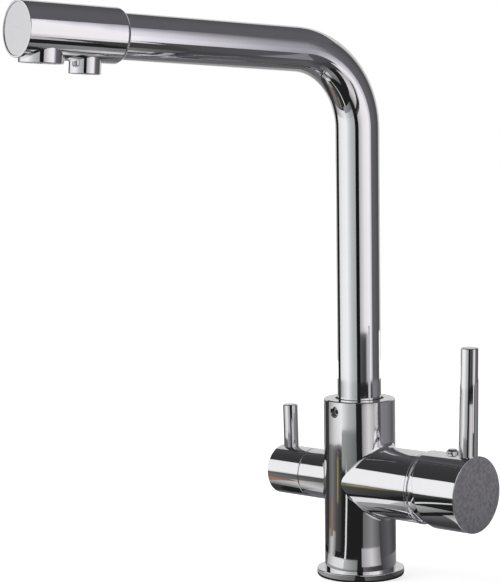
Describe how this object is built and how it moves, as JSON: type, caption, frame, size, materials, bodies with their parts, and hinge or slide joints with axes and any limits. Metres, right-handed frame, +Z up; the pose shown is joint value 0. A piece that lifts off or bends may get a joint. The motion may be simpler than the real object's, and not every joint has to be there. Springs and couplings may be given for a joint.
{
  "type": "three way filtered water tap",
  "caption": "Deck-mounted kitchen tap: swivelling spout with separate outlets for mixed and filtered water, a tilting hot and cold mixer lever and a quarter-turn filter lever.",
  "frame": {"origin": "centre of the base's underside, on the deck", "axes": "+Z up the column, +X towards the mixer handle, -Y towards the user"},
  "size_m": [0.1626, 0.2657, 0.3632],
  "materials": {
    "chrome": "polished chrome plate",
    "satin_end": "satin",
    "rubber": "matt",
    "brass": "turned",
    "steel": "ground",
    "white_plastic": "moulded",
    "grey_plastic": "moulded",
    "ceramic": "lapped",
    "clear_tube": "extruded"
  },
  "bodies": {
    "root": {"tap_body": "chrome", "inlet_block": "brass", "base_ring": "chrome", "base_seal_ring": "rubber", "spout_lock_screw": "steel", "spout_glide_ring": "white_plastic", "spout_thrust_washer": "white_plastic", "cartridge_base": "grey_plastic", "cartridge_port_seals": "rubber", "cartridge_fixed_disc": "ceramic", "cartridge_housing": "grey_plastic", "cartridge_nut": "brass", "cartridge_shroud": "chrome", "filter_valve_seal": "rubber", "filter_fixed_disc": "ceramic", "filter_valve_body": "brass"},
    "spout": {"spout_tube": "chrome", "spout_swivel_bush": "brass", "spout_o_rings": "rubber", "filter_water_tube": "clear_tube", "filter_tube_plug": "brass", "filter_tube_o_ring": "rubber", "spout_head": "chrome", "head_end_cap": "satin_end", "main_aerator_housing": "chrome", "main_aerator_insert": "white_plastic", "main_aerator_screen": "steel", "main_aerator_washer": "rubber", "filter_outlet_nozzle": "chrome", "filter_outlet_insert": "white_plastic", "filter_outlet_washer": "rubber"},
    "mixer_rotor": {"cartridge_rotor": "white_plastic", "cartridge_pivot_pin": "steel"},
    "mixer_handle": {"mixer_handle_cap": "chrome", "cartridge_spindle": "steel", "mixer_lever": "chrome", "mixer_grub_screw": "steel", "mixer_index_button": "chrome"},
    "mixing_disc": {"cartridge_moving_disc": "ceramic", "cartridge_disc_carrier": "white_plastic"},
    "filter_handle": {"filter_handle_cap": "chrome", "filter_lever": "chrome", "filter_grub_screw": "steel", "filter_valve_spindle": "brass", "filter_spindle_o_ring": "rubber", "filter_moving_disc": "ceramic"}
  },
  "joints": [
    {"name": "spout_swivel", "type": "hinge", "parent": "root", "child": "spout", "pos_m": [0, 0, 0.1], "axis": [0, 0, 1], "continuous": true},
    {"name": "mixer_temperature", "type": "hinge", "parent": "root", "child": "mixer_rotor", "pos_m": [0.05, 0, 0.0625], "axis": [1, 0, 0], "range_deg": [-45, 45]},
    {"name": "mixer_flow", "type": "hinge", "parent": "mixer_rotor", "child": "mixer_handle", "pos_m": [0.058, 0, 0.0625], "axis": [0, 1, 0], "range_deg": [0, 25]},
    {"name": "mixing_disc_slide", "type": "slide", "parent": "mixer_rotor", "child": "mixing_disc", "axis": [0, 0, 1], "range_m": [0, 0.005]},
    {"name": "filter_turn", "type": "hinge", "parent": "root", "child": "filter_handle", "pos_m": [-0.05, 0, 0.062], "axis": [1, 0, 0], "range_deg": [0, 90]}
  ],
  "couplings": [
    {"joint": "mixing_disc_slide", "follows": "mixer_flow", "m_per_rad": 0.0114}
  ]
}
